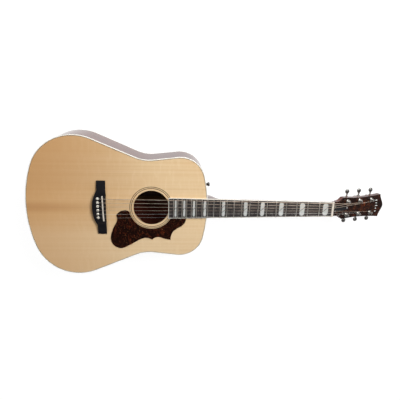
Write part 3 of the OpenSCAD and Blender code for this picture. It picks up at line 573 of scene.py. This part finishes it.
def top_purfling():
    """A fine dark line let in just inside the binding."""
    gap, width, proud = 0.05 * MM, 0.65 * MM, 0.08 * MM
    section = ((gap, -proud), (gap, proud), (gap + width, proud), (gap + width, -proud))
    outline = top_outline()
    count = len(outline)
    middle = sum(outline, Vector()) / count
    points = []
    for i, p in enumerate(outline):
        along = (outline[(i + 1) % count] - outline[i - 1]).normalized()
        inward = Vector((-along.y, along.x, 0))
        if inward.dot(middle - p) < 0:
            inward = -inward
        for offset, height in section:
            points.append(Vector((p.x, p.y, height)) + offset * inward)
    faces = []
    for i in range(count):
        a, b = 4 * i, 4 * ((i + 1) % count)
        faces += [[a + j, a + (j + 1) % 4, b + (j + 1) % 4, b + j] for j in range(4)]
    build("top_purfling", points, faces, "black_inlay")


def highest(node, x, y, radius):
    """The highest point of a node round a place, in the guitar's own frame."""
    points = (TO_GUITAR @ v.co for v in NODES[node].data.vertices)
    return max(p.z for p in points if math.hypot(p.x - x, p.y - y) < radius)


def pin_dots():
    """A dark dot set in the head of each bridge pin, clear of the string's slot."""
    low, high = guitar_box("bridge_pins")
    head = (high.x - low.x) / 2
    outer = high.y - head
    x = (low.x + high.x) / 2
    dots = []
    for k in range(6):
        y = outer * (2 * k / 5 - 1)
        centre = Vector((x - 0.5 * MM, y, highest("bridge_pins", x, y, head)))
        dots.append(dot(centre, Vector((0, 0, 1)), 1.15 * MM, 0.8 * MM, 0.06 * MM))
    build("pin_dots", *join(dots), "black_plastic")


def side_dots():
    """Position dots along the bass edge of the fingerboard, where the player sees them."""
    corners = [TO_GUITAR @ v.co for v in NODES["fingerboard_binding"].data.vertices]
    ends = [max((p for p in corners if abs(p.x - x) < MM), key=lambda p: p.y)
            for x in (min(p.x for p in corners), max(p.x for p in corners))]
    nut = ends[1].x
    outward = Vector((ends[0].y - ends[1].y, ends[1].x - ends[0].x, 0)).normalized()
    dots = []
    for fret in (3, 5, 7, 9, 12, 15, 17, 19):
        place = nut - SCALE_LENGTH * (1 - (2 ** (-fret / 12) + 2 ** ((1 - fret) / 12)) / 2)
        for shift in (-3.5 * MM, 3.5 * MM) if fret == 12 else (0,):
            share = (place + shift - ends[0].x) / (nut - ends[0].x)
            edge = ends[0].lerp(ends[1], share)
            dots.append(dot(Vector((edge.x, edge.y, 3.2 * MM)), outward, 1.1 * MM, 0.5 * MM, 0.05 * MM))
    build("side_dots", *join(dots), "black_plastic")


def end_graft():
    """A pale strip that covers the joint of the two sides at the tail, above and below the end pin."""
    sides, pin = guitar_box("bass_side"), guitar_box("end_pin")
    tail = sides[0].x
    wall = [TO_GUITAR @ v.co for v in NODES["bass_side"].data.vertices]
    bottom = min(p.z for p in wall if p.x < tail + MM)
    half, proud = 3.2 * MM, 0.25 * MM
    strips = []
    for low, high in ((bottom, pin[0].z), (pin[1].z, sides[1].z)):
        rings = ((tail - proud, half - proud, 0.3 * MM), (tail + proud, half, 0))
        points = [Vector((x, y, z)) for x, edge, trim in rings
                  for z in (low + trim, high - trim) for y in (-edge, edge)]
        faces = [[0, 1, 3, 2], [4, 6, 7, 5], [0, 4, 5, 1], [2, 3, 7, 6], [0, 2, 6, 4], [1, 5, 7, 3]]
        strips.append((points, faces))
    build("end_graft", *join(strips), "white_binding")


def string_tail(number):
    """The string's last climb from its turns, through the post's hole and out to a short cut end."""
    joint = JOINTS[f"post_{number}_turn"]
    base, up = Vector(joint["pos_m"]), Vector(joint["axis"]).normalized()
    along = Vector((up.z, 0, -up.x))
    side = 1 if base.y > 0 else -1
    gauge = STRING_GAUGES[number]
    top_turn = 4 + 2.5 * (gauge + 0.1)
    hole, skin, collar = 9.8, 2.6 + gauge / 2, 3.1 + gauge / 2
    # (radius, angle, height) about the post, in millimetres and degrees
    route = [
        (skin, 200, top_turn), (skin + 0.1, 230, top_turn + 0.3), (collar, 252, (top_turn + hole) / 2),
        (collar + 0.2, 266, hole - 0.25), (2.6, 270, hole), (0, 270, hole), (2.6, 90, hole),
        (collar + 0.4, 91, hole + 0.1), (collar + 1.2, 94, hole + 0.8),
    ]
    curve = bpy.data.curves.new(f"string_tail_{number}", "CURVE")
    curve.dimensions = "3D"
    curve.bevel_depth = gauge / 2 * MM
    curve.bevel_resolution = 3
    curve.use_fill_caps = True
    spline = curve.splines.new("NURBS")
    spline.points.add(len(route) - 1)
    for point, (radius, angle, height) in zip(spline.points, route):
        a = math.radians(angle)
        across = Vector((0, side * math.sin(a), 0))
        point.co = (*(base + MM * (radius * (math.cos(a) * along + across) + height * up)), 1)
    spline.order_u = 3
    spline.use_endpoint_u = True
    slot = "plain_string" if number < 3 else "wound_string"
    curve.materials.append(MATERIALS[slot])
    tail = bpy.data.objects.new(f"string_tail_{number}", curve)
    bpy.context.scene.collection.objects.link(tail)
    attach(tail, f"tuner_post_{number}")


# ---- the stage ----


def floor():
    """A wide sheet of evenly glowing paper, just under the guitar."""
    paper = Finish("paper", Base_Color=(0.14, 0.14, 0.14, 1), Roughness=0.9,
                   Emission_Color=(1, 1, 1, 1), Emission_Strength=0.95)
    half = 20
    corners = [(-half, -half, 0), (half, -half, 0), (half, half, 0), (-half, half, 0)]
    mesh = bpy.data.meshes.new("floor")
    mesh.from_pydata(corners, [], [(0, 1, 2, 3)])
    mesh.materials.append(paper.material)
    plane = bpy.data.objects.new("floor", mesh)
    bpy.context.scene.collection.objects.link(plane)
    plane.location.z = -0.3 * MM


def light(name, place, target, width, height, power):
    data = bpy.data.lights.new(name, "AREA")
    data.shape = "RECTANGLE"
    data.size, data.size_y, data.energy = width, height, power
    lamp = bpy.data.objects.new(name, data)
    lamp.location = place
    lamp.rotation_euler = (Vector(target) - Vector(place)).to_track_quat("-Z", "Y").to_euler()
    bpy.context.scene.collection.objects.link(lamp)


def studio():
    """A room that dims upwards from a bright horizon, with a soft light beyond each end of the guitar."""
    # each band: from one height of the sky to another, the light falls from one strength to another
    bands = ((0.3, 0.8, 0.32, 0.06), (0.02, 0.26, 0.68, 0.0))
    world = bpy.data.worlds.new("studio")
    world.use_nodes = True
    nodes, links = world.node_tree.nodes, world.node_tree.links
    height = nodes.new("ShaderNodeSeparateXYZ")
    links.new(nodes.new("ShaderNodeTexCoord").outputs["Generated"], height.inputs[0])
    total = nodes.new("ShaderNodeMath")
    for band, share in zip(bands, total.inputs):
        fade = nodes.new("ShaderNodeMapRange")
        fade.interpolation_type = "SMOOTHSTEP"
        for label, value in zip(("From Min", "From Max", "To Min", "To Max"), band):
            fade.inputs[label].default_value = value
        links.new(height.outputs["Z"], fade.inputs["Value"])
        links.new(fade.outputs[0], share)
    links.new(total.outputs[0], nodes["Background"].inputs["Strength"])
    nodes["Background"].inputs["Color"].default_value = (1, 1, 1, 1)
    bpy.context.scene.world = world
    light("key", (1.1, 1.2, 1.6), (0, 0, 0), 1.4, 1.0, 56)
    light("fill", (-1.0, 1.3, 1.9), (0, 0, 0), 1.2, 1.0, 10)
    bpy.context.scene.view_settings.view_transform = "Standard"


def camera():
    """Above the body on its bass side, tipped to look back across the strings."""
    data = bpy.data.cameras.new("camera")
    data.lens = 35.73
    eye = bpy.data.objects.new("camera", data)
    place = Vector((-0.05316, 0.33343, 1.16570))
    ahead = Vector((0.0226, -0.2787, -0.9601)).normalized()
    up = Vector((-0.0238, 0.9599, -0.2792))
    right = ahead.cross(up).normalized()
    up = right.cross(ahead)
    turn = Matrix((right, up, -ahead)).transposed().to_4x4()
    eye.matrix_world = Matrix.Translation(place) @ turn
    bpy.context.scene.collection.objects.link(eye)
    bpy.context.scene.camera = eye


camera()
studio()
floor()
finish_cad_nodes()
top_purfling()
pin_dots()
side_dots()
end_graft()
for string_number in STRING_GAUGES:
    string_tail(string_number)
